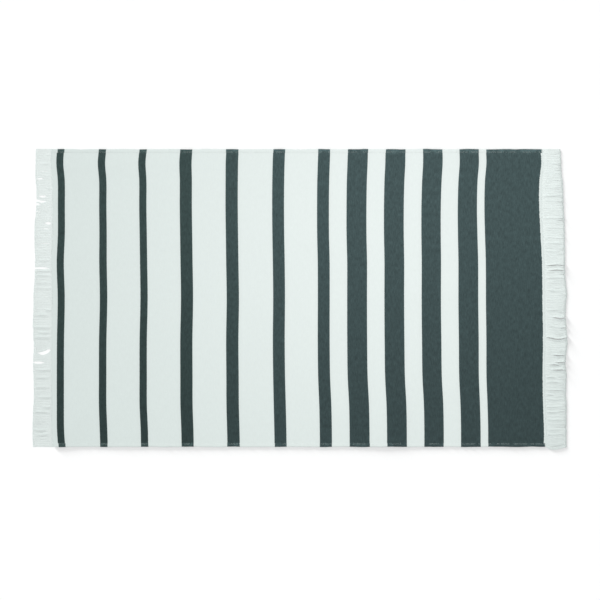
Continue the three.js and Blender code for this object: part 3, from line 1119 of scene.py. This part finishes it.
@dataclass
class Hem:
    """One long side, turned up twice and lying on the cloth, in one rolled section."""

    form: ClothForm
    side: Side
    name: str
    seed: int
    step: float = STITCH_PITCH / 3
    fold_height: float = WALL + 1.0  # over the surface, at the fold
    fold_depth: float = 0.95  # of the fold's round, from its outermost point
    fold_foot: float = 0.03  # of its lowest point above the surface
    fold_waver: float = 0.45
    waver_reach: float = 14.0  # in from the fold to where the waver would end
    inner_waver: float = 0.3  # the least share of it, at the inner edge
    thickness_waver: float = 0.1
    stitch_dent: float = 0.22
    groove_width: float = 0.8

    def section(self) -> Array:
        """The section as points of distance in from the fold and height over the surface.

        It runs down the inner edge, out along the underside to the cloth's edge, round the
        fold as half an ellipse, and back in over the top past the stitches' groove.

        Returns:
            An even count of points x 2, lower points first.
        """
        top = self.fold_height
        under = np.array(
            [
                [12.4, WALL],
                [11.4, WALL - 0.02],
                [9.7, WALL - 0.04],
                [8.0, WALL - 0.02],
                [6.2, WALL],
                [4.4, WALL],
                [2.6, WALL],
                [1.7, WALL - 0.05],
                [1.45, 0.8],
                [1.35, 0.2],
            ]
        )
        angles = np.radians([-72.0, -38.0, 0.0, 38.0, 72.0])
        depth = self.fold_depth - self.fold_depth * np.cos(angles)
        height = top / 2 + (top / 2 - self.fold_foot) * np.sin(angles)
        fold = np.stack([depth, height], axis=-1)
        over = np.array(
            [
                [3.0, top],
                [6.0, top - 0.08],
                [8.6, top - 0.2],
                [9.7, top - 0.42],
                [10.6, top - 0.42],
                [11.6, top - 0.62],
                [12.4, top - 0.85],
            ]
        )
        return np.concatenate([under, fold, over])

    def build(self, finish: bpy.types.Material) -> bpy.types.Object:
        """Make the hem.

        The section is carried along the towel on the cloth's form. Its fold and its height
        wander, and a dent at each stitch pulls the groove down as a bell curve across it
        and a cosine along it.

        Args:
            finish: the cloth's material.

        Returns:
            The piece.
        """
        section = self.section()
        count = round((CLOTH_END - CLOTH_START) / self.step) + 1
        columns = np.linspace(CLOTH_START, CLOTH_END, count)
        x, inward = np.meshgrid(columns, section[:, 0], indexing="ij")
        height = np.broadcast_to(section[:, 1], x.shape)
        wavers = Ripple(self.seed, shortest=26.0, longest=170.0, count=7)
        swells = Ripple(self.seed + 1, shortest=8.0, longest=46.0, count=6)
        waver = wavers.along(columns)[:, None]
        swell = swells.along(columns)[:, None]
        near_fold = np.clip(1.0 - inward / self.waver_reach, self.inner_waver, 1.0)
        edge = HEM_EDGE + self.fold_waver * waver * near_fold
        across = self.side.value * (edge - inward)
        groove = np.exp(-0.5 * ((inward - STITCH_IN) / self.groove_width) ** 2)
        at_stitch = 0.5 + 0.5 * np.cos(2.0 * math.pi * (x - CLOTH_START) / STITCH_PITCH)
        share = np.clip(height / self.fold_height, 0.0, 1.0)
        risen = height + share * (
            self.thickness_waver * swell - self.stitch_dent * groove * at_stitch
        )
        inside = np.clip(np.abs(across), 0.0, HEM_EDGE) * self.side.value
        lift = self.form.lift(x, inside)
        z = lift + (self.form.top(x, inside) - lift - WALL) * share + risen
        placed = x + self.form.shift(x, inside)
        points = np.stack([placed, across, z], axis=-1)
        places = np.stack([x + self._stripe_slip(x), across], axis=-1)
        if self.side is Side.NEAR:
            half = points.shape[1] // 2
            points = np.roll(points[:, ::-1], half, axis=1)
            places = np.roll(places[:, ::-1], half, axis=1)
        draft = MeshDraft(self.name, ClothFinish.map_name)
        add_loft(draft, points, places)
        piece = draft.build()
        piece.data.materials.append(finish)
        return piece

    @staticmethod
    def _stripe_slip(x: Array) -> Array:
        """How far the turned layer's stripes lie off those of the cloth below it."""
        slips = np.array([-2.4, 0.6, -1.0, 1.2, -0.8, 0.5, -1.1, 0.8, -0.6, -3.2])
        places = np.linspace(CLOTH_START, CLOTH_END, len(slips))
        return np.interp(x, places, slips)


@dataclass
class Stitches:
    """A hem's lockstitches: one short thread after the other, on the top and underneath."""

    form: ClothForm
    side: Side
    name: str
    seed: int
    length: float = 2.9
    length_spread: Pair = (0.92, 1.04)
    skew: float = 0.12  # how far a stitch's ends lie off its line
    radius: float = 0.26
    stand: float = 0.42  # of a stitch's ends over the cloth's upper face
    bow: float = 0.26  # and of its middle over its ends
    sunk: float = 0.3  # how deep a tight stitch lies in the hem
    sunk_spread: Pair = (-0.3, 1.0)  # how tight each one is, over its neighbours
    under_stand: float = 0.17  # of the ends underneath over the cloth's lower face
    under_bow: float = 0.08  # and of their middle below that
    under_tall: float = 0.5  # height over width of those underneath
    under_number: float = 1000.0  # of the first one there, which tells their maps apart
    end_taper: float = 0.75  # how much narrower a stitch is at its ends, as a square
    rings: int = 6
    sides: int = 5

    def build(self, finish: bpy.types.Material) -> bpy.types.Object:
        """Make both lines of stitches.

        Each stitch is a tube whose middle stands highest, on half an ellipse, and whose
        ends dip into the hem at the needle's holes.

        Args:
            finish: the thread's material.

        Returns:
            The piece.
        """
        first = CLOTH_START + STITCH_PITCH * 1.5
        middles = np.arange(first, CLOTH_END - STITCH_PITCH, STITCH_PITCH)
        random = np.random.default_rng(self.seed)
        skew = random.normal(0.0, self.skew, len(middles))
        length = self.length * random.uniform(*self.length_spread, len(middles))
        along = np.linspace(-1.0, 1.0, self.rings)
        x = middles[:, None] + 0.5 * length[:, None] * along
        bow = np.sqrt(np.maximum(1.0 - along**2, 0.0))
        y = self.side.value * (HEM_EDGE - STITCH_IN + skew[:, None] * along)
        tight = Ripple(self.seed + 2, shortest=9.0, longest=60.0, count=6).along(middles)
        tight = tight + random.uniform(*self.sunk_spread, len(middles))
        sunk = self.sunk * np.clip(tight, 0.0, 2.0)
        over = self.form.top(x, y) + self.stand + self.bow * bow - sunk[:, None]
        under = self.form.lift(x, y) + self.under_stand - self.under_bow * bow
        placed = x + self.form.shift(x, y)
        draft = MeshDraft(self.name, YarnFinish.map_name)
        numbers = np.arange(len(middles), dtype=float)
        for height, tall, number in (
            (over, 1.0, 0.0),
            (under, self.under_tall, self.under_number),
        ):
            path = np.stack([placed, np.broadcast_to(y, x.shape), height], axis=-1)
            tubes = self._tubes(path, tall)
            draft.add_tubes(tubes, x - middles[:, None], numbers + number)
        piece = draft.build()
        piece.data.materials.append(finish)
        return piece

    def _tubes(self, path: Array, tall: float) -> Array:
        """Rings of an ellipse about each path, narrower at both ends."""
        angles = 2.0 * math.pi * np.arange(self.sides) / self.sides
        taper = np.sqrt(1.0 - self.end_taper * np.linspace(-1.0, 1.0, self.rings) ** 2)
        radius = (self.radius * taper)[None, :, None]
        ring = np.zeros((*path.shape[:2], self.sides, 3))
        ring[..., 1] = radius * np.cos(angles)
        ring[..., 2] = radius * tall * np.sin(angles)
        return path[:, :, None, :] + ring


@dataclass
class Fringe:
    """A fringe of flat, loose locks of warp yarns, with the last weft picks."""

    form: ClothForm
    end: End
    name: str
    weave_end: float
    trim: tuple[TrimRow, ...]
    partings: tuple[Parting, ...]
    seed: int
    arch: float  # most that a lock's middle stands off the surface
    corner_spread: float  # how far the locks at the near corner lie outside the hem
    corner_reach: float = 44.0  # from that corner to the first of them
    corner_lead: float = 0.8  # power of the place along a lock, which moves its bow outwards
    locks: int = LOCKS_PER_END
    yarns: int = YARNS_PER_LOCK
    sides: int = 4
    free_points: int = 10  # of a yarn past the picks
    crowding: float = 1.12  # of those points towards the root
    yarn_radius: float = 0.68
    root_share: float = 0.86  # of the radius among the picks
    unevenness: float = 0.03  # of the radius along a yarn
    radius_limits: Pair = (0.82, 1.18)  # least and most of it
    yarn_turns: Pair = (0.4, 1.3)  # of a yarn about its lock's middle
    wander: float = 0.18  # how far a yarn strays to either side in its lock
    cross: float = 0.03  # and how far up and down as it crosses its neighbours
    fan: float = 0.32  # and how far aside at its tip
    crown: float = 0.12  # how far a lock's middle stands over its sides
    lock_widths: Pair = (0.96, 1.03)  # half way along, over that at the root
    gathering: Pair = (3.5, 11.0)  # where a lock's own lie begins and is complete
    bow_sway: float = 0.6  # how far the locks bow aside
    tip_sway: float = 0.5  # and how far their tips lie aside
    tip_lead: float = 61.0  # along the waves of the sway, so that tips lie another way
    lock_sway: float = 0.14  # how far each lock lies off its neighbours
    wave_share: float = 0.8  # of a wave along the lock over its tip's own sway
    trim_spread: float = 0.7  # of the locks' lengths
    yarn_trim_spread: float = 0.7  # and of the yarns' in a lock
    tip_thinness: float = 0.4  # of a yarn's height at its tip
    tip_drop: float = 0.1  # and how much closer it lies to the surface
    tip_bend: float = 0.3  # share of that drop one point before the tip
    picks: int = 3
    pick_pitch: float = 1.3
    first_pick: float = 0.75  # in pitches past the weave's end
    pick_radius: float = 0.4
    pick_taper: float = 0.4  # of a pick's radius at both ends
    pick_number: float = 2000.0  # of the first one, which tells their maps from the yarns'
    pick_lift: float = 0.3  # how far picks and yarns pass over and under each other
    level_after: float = 1.0  # how soon past the picks the yarns lie level
    seam_overlap: float = 0.8  # how far the yarns start inside the cloth
    clearance: float = 0.12  # of the lowest yarn above the surface
    parting_softness: float = 1.1  # of a parting's two ends
    near_rise: float = 0.6  # of the yarns on a parting's near side over the far ones
    crease_width: float = 1.6  # of a rise beside a parting, to which its height is added
    sag_reach: float = 26.0  # of a parting's sag to both sides

    def __post_init__(self) -> None:
        """Work out the pitches and each lock's own draws."""
        self.pitch = TOWEL_WIDTH / self.locks
        self.yarn_pitch = self.pitch / self.yarns
        self.places = (np.arange(self.yarns) - (self.yarns - 1) / 2) * self.yarn_pitch
        random = np.random.default_rng(self.seed)
        count = self.locks
        self.lock_y = self.pitch * (np.arange(count) + 0.5) - HALF_WIDTH
        self.turns = random.uniform(*self.yarn_turns, (count, self.yarns))
        self.phase = random.uniform(0.0, 1.0, (count, self.yarns))
        self.width = random.uniform(*self.lock_widths, count)
        drift = Ripple(self.seed + 1, shortest=30.0, longest=150.0, count=7)
        own = random.normal(0.0, self.lock_sway, (2, count, 1))
        yarn_y = self.lock_y[:, None] + self.places
        self.bows = self.bow_sway * drift.along(yarn_y) + own[0]
        self.tips = self.tip_sway * drift.along(yarn_y + self.tip_lead) + own[1]
        self.rise = self.arch * random.uniform(0.0, 1.0, count) ** 3
        self.bend = random.uniform(-0.5, 0.5, count)
        self.yarn_trim = random.uniform(0.0, self.yarn_trim_spread, (count, self.yarns))
        self.yarn_fan = random.normal(0.0, self.fan, (count, self.yarns))
        self.lock_trim = random.uniform(-self.trim_spread, self.trim_spread, count)

    def build(self, finish: bpy.types.Material) -> bpy.types.Object:
        """Make the locks and the picks that hold them.

        Args:
            finish: the yarn's material.

        Returns:
            The piece.
        """
        draft = MeshDraft(self.name, YarnFinish.map_name)
        path, distance = self._yarn_paths()
        rings = path.shape[1]
        radius = self._yarn_radii(rings, path.shape[0])
        numbers = np.arange(path.shape[0], dtype=float)
        tall = np.ones(rings)
        tall[-1] = self.tip_thinness
        draft.add_tubes(self._tubes(path, radius, self.sides, tall), distance, numbers)
        picks, run = self._pick_paths()
        thick = np.full(picks.shape[:2], self.pick_radius)
        thick[:, [0, -1]] *= self.pick_taper
        rounds = self._tubes(picks, thick, self.sides, np.ones(picks.shape[1]))
        draft.add_tubes(rounds, run, np.arange(self.picks) + self.pick_number)
        piece = draft.build()
        piece.data.materials.append(finish)
        return piece

    def _yarn_paths(self) -> tuple[Array, Array]:
        """The middle line of every yarn.

        The yarns lie side by side, and at the root they pass over and under the picks. Past
        those each lock draws together a little, crowned in its middle, and its yarns stray
        over and under each other and fan out at the tip.

        Returns:
            Yarns x points x 3, and yarns x points of distance from the weave's end.
        """
        length = self._lengths()
        distance = self._stations(length)
        t = distance / length[..., None]
        bow = np.sin(math.pi * np.clip(t, 0.0, 1.0))
        place = self.places[None, :, None]
        gather = smooth_step(distance, *self.gathering)
        lock_y = np.broadcast_to(self.lock_y[:, None, None], t.shape)
        aside, raised = self._drift(lock_y, place, distance, t)
        turn = 2.0 * math.pi * (self.turns[..., None] * t + self.phase[..., None])
        drawn = 1.0 + (self.width[:, None, None] - 1.0) * bow
        fan = self.yarn_fan[..., None] * t**3
        y = lock_y + (1.0 + gather * (drawn - 1.0)) * place
        y = y + gather * (self.wander * np.sin(turn) + aside + fan)
        lowest = self.clearance + self.yarn_radius + self.cross
        arch = self.rise[:, None, None] * bow
        crowned = self.crown * (1.0 - (2.0 * place / self.pitch) ** 2)
        free_z = lowest + self.cross * np.cos(turn) + crowned + arch + raised
        root_z = self.form.lift(np.full(t.shape, self.weave_end), lock_y) * (1.0 - t)
        z = root_z + (1.0 - gather) * (0.5 * WALL + self._weft(distance)) + gather * free_z
        z[..., -2] -= self.tip_bend * self.tip_drop
        thinned = (1.0 - self.tip_thinness) * self.yarn_radius * math.sqrt(0.5)
        z[..., -1] -= self.tip_drop + thinned
        root_x = self.form.weave_end(self.weave_end, y)
        x = root_x * (1.0 - t) + t * self.weave_end + self.end.value * distance
        path = np.stack([x, y, z], axis=-1)
        flat = (self.locks * self.yarns, t.shape[-1])
        return path.reshape(*flat, 3), distance.reshape(flat)

    def _stations(self, length: Array) -> Array:
        """Distances from the weave's end of every yarn's points, locks x yarns x points.

        One point lies inside the cloth, one at each pick and one just past the last of
        them, and the rest go on to the tip, spread by a power of their number.
        """
        at_picks = self.pick_pitch * (np.arange(self.picks) + self.first_pick)
        last = at_picks[-1]
        near = np.array([-self.seam_overlap, *at_picks, last + self.level_after])
        far = np.linspace(0.0, 1.0, self.free_points + 1)[1:] ** self.crowding
        roots = np.broadcast_to(near, (*length.shape, len(near)))
        return np.concatenate([roots, last + (length[..., None] - last) * far], axis=-1)

    def _weft(self, distance: Array) -> Array:
        """Height of each yarn over the cloth's middle, which ends just past the picks."""
        last = self.pick_pitch * (self.picks - 1 + self.first_pick)
        levelled = smooth_step(distance, last, last + self.level_after)
        number = np.arange(self.yarns)[None, :, None]
        return self._over_under(distance, number) * (1.0 - levelled)

    def _lengths(self) -> Array:
        """Length of every yarn from the weave's end, locks x yarns."""
        rows = np.array([row.y for row in self.trim], float)
        short = np.interp(self.lock_y, rows, np.array([row.short for row in self.trim], float))
        reach = HALF_LENGTH - abs(self.weave_end)
        return reach - (short + self.lock_trim)[:, None] - self.yarn_trim + TRIM_ALLOWANCE

    def _drift(
        self, lock_y: Array, place: Array, distance: Array, t: Array
    ) -> tuple[Array, Array]:
        """How the yarns lie aside of straight, and how far they stand off the surface.

        Each lock has its own sway. A parting, which lies between two locks, opens as a flat
        topped bell along the fringe, and pushes the yarns away from it less and less
        further off. The locks at the near corner bow outwards past the hem.

        Args:
            lock_y: Y of each lock's root.
            place: of each yarn beside its lock's middle.
            distance: from the weave's end.
            t: the same over the yarn's length.

        Returns:
            The sideways moves, and the rises.
        """
        bow = np.sin(math.pi * t)
        wave = np.sin(2.0 * math.pi * t + self.bend[:, None, None]) * t
        tip = t**2 + self.wave_share * wave
        aside = self.bows[..., None] * bow + self.tips[..., None] * tip
        raised = np.zeros(t.shape)
        for parting in self.partings:
            between = self.pitch * round((parting.y + HALF_WIDTH) / self.pitch) - HALF_WIDTH
            away = lock_y + place - between
            middle = (parting.start + parting.end) / 2
            half = (parting.end - parting.start) / 2
            opened = np.exp(-(((distance - middle) / (half * self.parting_softness)) ** 4))
            fade = np.exp(-(np.abs(away) / parting.reach))
            aside = aside + 0.5 * parting.gap * np.sign(away) * fade * opened
            height = np.where(away > 0.0, 1.0, self.near_rise) * parting.rise
            spread = self.crease_width + parting.rise
            raised = raised + height * np.exp(-((away / spread) ** 2)) * opened
            along = np.clip((distance - parting.start) / (2.0 * half), 0.0, 1.0)
            bell = np.exp(-((away / self.sag_reach) ** 2))
            aside = aside - parting.sag * np.sin(math.pi * along) ** 2 * bell
        corner = smooth_step(-lock_y - place, HALF_WIDTH - self.corner_reach, HALF_WIDTH)
        outwards = np.sin(math.pi * np.clip(t, 0.0, 1.0) ** self.corner_lead)
        return aside - self.corner_spread * corner * outwards, raised

    def _over_under(self, distance: Array, number: Array) -> Array:
        """Height of a yarn over the cloth's middle as it passes over and under the picks."""
        step = distance / self.pick_pitch - self.first_pick
        return self.pick_lift * np.cos(math.pi * (step + number))

    def _yarn_radii(self, rings: int, count: int) -> Array:
        """Radius at each point of each yarn, with thick and thin places."""
        random = np.random.default_rng(self.seed + 7)
        spun = 1.0 + self.unevenness * random.standard_normal((count, rings))
        shape = np.ones(rings)
        shape[: self.picks + 1] = self.root_share
        return self.yarn_radius * np.clip(spun, *self.radius_limits) * shape

    def _pick_paths(self) -> tuple[Array, Array]:
        """The middle line of the last picks, which pass under and over the yarns in turn.

        Returns:
            Picks x points x 3, and picks x points of distance along the pick.
        """
        count = self.locks * self.yarns
        order = np.arange(count)
        y = (order + 0.5) * self.yarn_pitch - HALF_WIDTH
        y = np.broadcast_to(y, (self.picks, count))
        number = order % self.yarns
        distance = self.pick_pitch * (np.arange(self.picks)[:, None] + self.first_pick)
        away = -self._over_under(distance, number)
        z = self.form.lift(np.full(y.shape, self.weave_end), y) + 0.5 * WALL + away
        x = self.form.weave_end(self.weave_end, y) + self.end.value * distance
        return np.stack([x, y, np.broadcast_to(z, y.shape)], axis=-1), y + HALF_WIDTH

    @staticmethod
    def _tubes(path: Array, radius: Array, sides: int, tall: Array) -> Array:
        """Rings about each path, square to the way that it goes.

        Args:
            path: tubes x rings x 3.
            radius: tubes x rings.
            sides: points of a ring.
            tall: rings, the height of each as a share of its width.

        Returns:
            Tubes x rings x sides x 3.
        """
        tangent = unit(np.gradient(path, axis=1))
        side = unit(np.cross(np.array([0.0, 0.0, 1.0]), tangent))
        up = np.cross(tangent, side)
        angles = 2.0 * math.pi * (np.arange(sides) + 0.5) / sides
        flat = tall[:, None, None] * np.sin(angles)[:, None]
        ring = side[:, :, None] * np.cos(angles)[:, None] + up[:, :, None] * flat
        return path[:, :, None] + radius[:, :, None, None] * ring


@dataclass
class Studio:
    """The floor, the soft studio light and the camera straight above.

    Two lights shine from the far left. The low one falls on the floor alone, where it
    gives the towel's thin edges their soft shadow, and it passes the left fringe, in whose
    gaps the floor is bright. The higher one and the softbox fall on the towel alone, so the
    floor stays evenly white.
    """

    floor_half: float = 9.0
    floor_level: float = -0.0003
    floor_colour: Colour = (0.955, 0.96, 0.96, 1.0)
    floor_roughness: float = 0.95
    camera_place: Triple = (-0.00504, -0.0067, 4.757)
    lens: float = 85.0
    sensor: float = 36.0
    sky: float = 0.815  # strength of the even light
    floor_share: float = 0.245  # of the low light, on level ground
    towel_share: float = 0.185  # of the higher one
    light_heading: float = 135.0  # of the place that it shines from, from +X
    floor_elevation: float = 5.8
    floor_softness: float = 11.0
    towel_elevation: float = 34.0
    towel_softness: float = 24.0
    softbox: float = 8.15  # in watts
    softbox_place: Triple = (0.33, 0.32, 1.5)
    softbox_size: float = 0.5
    softbox_colour: Triple = (1.0, 0.85, 0.88)

    def build(self) -> None:
        """Make everything that isn't the towel."""
        self.towel = bpy.data.collections.new("lit_towel")
        self.casters = bpy.data.collections.new("shadow_casters")
        ground = bpy.data.collections.new("lit_floor")
        ground.objects.link(self._floor())
        self._sky()
        low = self._side_light(
            "floor_light", self.floor_share, self.floor_elevation, self.floor_softness
        )
        low.light_linking.receiver_collection = ground
        low.light_linking.blocker_collection = self.casters
        high = self._side_light(
            "towel_light", self.towel_share, self.towel_elevation, self.towel_softness
        )
        high.light_linking.receiver_collection = self.towel
        self._softbox()
        self._camera()
        bpy.context.scene.view_settings.view_transform = "Standard"

    def _floor(self) -> bpy.types.Object:
        """A plain white floor, large enough for every view."""
        half = self.floor_half
        mesh = bpy.data.meshes.new("floor")
        corners = [(-half, -half), (half, -half), (half, half), (-half, half)]
        mesh.from_pydata([(x, y, self.floor_level) for x, y in corners], [], [(0, 1, 2, 3)])
        floor = bpy.data.objects.new("floor", mesh)
        bpy.context.scene.collection.objects.link(floor)
        material, _, shader = new_material("white_floor")
        shader.inputs["Base Color"].default_value = self.floor_colour
        shader.inputs["Roughness"].default_value = self.floor_roughness
        mesh.materials.append(material)
        return floor

    def _sky(self) -> None:
        """Even light from all round."""
        world = bpy.data.worlds.new("studio")
        world.use_nodes = True
        background = world.node_tree.nodes["Background"]
        background.inputs["Color"].default_value = (1.0, 1.0, 1.0, 1.0)
        background.inputs["Strength"].default_value = self.sky
        bpy.context.scene.world = world

    def _side_light(
        self, name: str, share: float, elevation: float, softness: float
    ) -> bpy.types.Object:
        """Soft light from the far left.

        Args:
            name: the light's name.
            share: how much light it throws on level ground.
            elevation: of the light over the floor, in degrees.
            softness: how wide it looks, in degrees.

        Returns:
            The lamp.
        """
        light = bpy.data.lights.new(name, "SUN")
        light.energy = share * math.pi / math.sin(math.radians(elevation))
        light.angle = math.radians(softness)
        lamp = bpy.data.objects.new(name, light)
        tilt = math.radians(90.0 - elevation)
        lamp.rotation_euler = (0.0, tilt, math.radians(self.light_heading))
        bpy.context.scene.collection.objects.link(lamp)
        return lamp

    def _softbox(self) -> None:
        """A softbox that faces down over the right half of the towel."""
        light = bpy.data.lights.new("softbox", "AREA")
        light.shape = "SQUARE"
        light.size = self.softbox_size
        light.energy = self.softbox
        light.color = self.softbox_colour
        lamp = bpy.data.objects.new("softbox", light)
        lamp.location = self.softbox_place
        lamp.visible_camera = False
        lamp.light_linking.receiver_collection = self.towel
        bpy.context.scene.collection.objects.link(lamp)

    def _camera(self) -> None:
        """A camera that looks straight down, with +Y at the top of the picture."""
        data = bpy.data.cameras.new("camera")
        data.lens = self.lens
        data.sensor_width = self.sensor
        camera = bpy.data.objects.new("camera", data)
        camera.location = self.camera_place
        bpy.context.scene.collection.objects.link(camera)
        bpy.context.scene.camera = camera


def left_fringe(form: ClothForm) -> Fringe:
    """The fringe by the narrow stripes, whose locks lie flat."""
    return Fringe(
        form=form,
        end=End.LEFT,
        name="warp_fringe_left",
        weave_end=CLOTH_START,
        trim=LEFT_TRIM,
        partings=LEFT_PARTINGS,
        seed=83,
        arch=0.2,
        corner_spread=0.0,
    )


def right_fringe(form: ClothForm) -> Fringe:
    """The fringe by the wide band, some of whose locks stand off the surface."""
    return Fringe(
        form=form,
        end=End.RIGHT,
        name="warp_fringe_right",
        weave_end=CLOTH_END,
        trim=RIGHT_TRIM,
        partings=RIGHT_PARTINGS,
        seed=97,
        arch=0.5,
        corner_spread=9.0,
    )


def place(
    piece: bpy.types.Object,
    nodes: tuple[str, ...],
    slot: str,
    studio: Studio,
    casts_shadow: bool = True,
) -> None:
    """Put a piece on the towel's body and hide the solids that it replaces.

    Args:
        piece: the finished piece.
        nodes: the solids that it replaces.
        slot: its material slot; not used.
        studio: the studio whose light falls on it.
        casts_shadow: whether the low light leaves its shadow on the floor.
    """
    studio.towel.objects.link(piece)
    if casts_shadow:
        studio.casters.objects.link(piece)
    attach(piece, "root")
    if nodes:
        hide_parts(*nodes)
    triangles = sum(len(face.vertices) - 2 for face in piece.data.polygons)
    log.info("%s: %d triangles", piece.name, triangles)


def main() -> None:
    """Build the towel's pieces in order, and the studio around them."""
    logging.basicConfig(level=logging.INFO, format="%(message)s")
    kit = ShaderKit(stripe_group(), weave_group(), twist_group())
    striped = ClothFinish().build(kit)
    thread = YarnFinish("thread", THREAD, lay=0.9, relief=0.00005).build(kit)

    studio = Studio()
    studio.build()
    form = ClothForm()
    cloth = Cloth(form).build(striped)
    place(cloth, ("panel",), "striped_cloth", studio)
    trimmings = []
    for side, node, seed in ((Side.FAR, "hem_far", 61), (Side.NEAR, "hem_near", 73)):
        hem = Hem(form, side, f"turned_{node}", seed).build(striped)
        place(hem, (node,), "striped_cloth", studio)
        line = Stitches(form, side, f"stitches_{side.name.lower()}", seed + 5).build(thread)
        place(line, (), "sewing_thread", studio)
        trimmings += [hem, line]
    for fringe, node, colour, painted_ends in (
        (left_fringe(form), "fringe_left", LEFT_YARN_PAINTED_LIT, LEFT_PAINTED_ENDS),
        (right_fringe(form), "fringe_right", RIGHT_YARN_PAINTED_SHADED, RIGHT_PAINTED_ENDS),
    ):
        # the left fringe's yarn is a painted lit copy and the right's a painted shaded copy
        yarn = YarnFinish(f"{node}_cotton", colour, FRINGE_LAY, FRINGE_RELIEF, *painted_ends).build(kit)
        piece = fringe.build(yarn)
        place(piece, (node,), "fringe_yarn", studio, fringe.end is End.RIGHT)
        trimmings.append(piece)


if __name__ == "__main__":
    main()
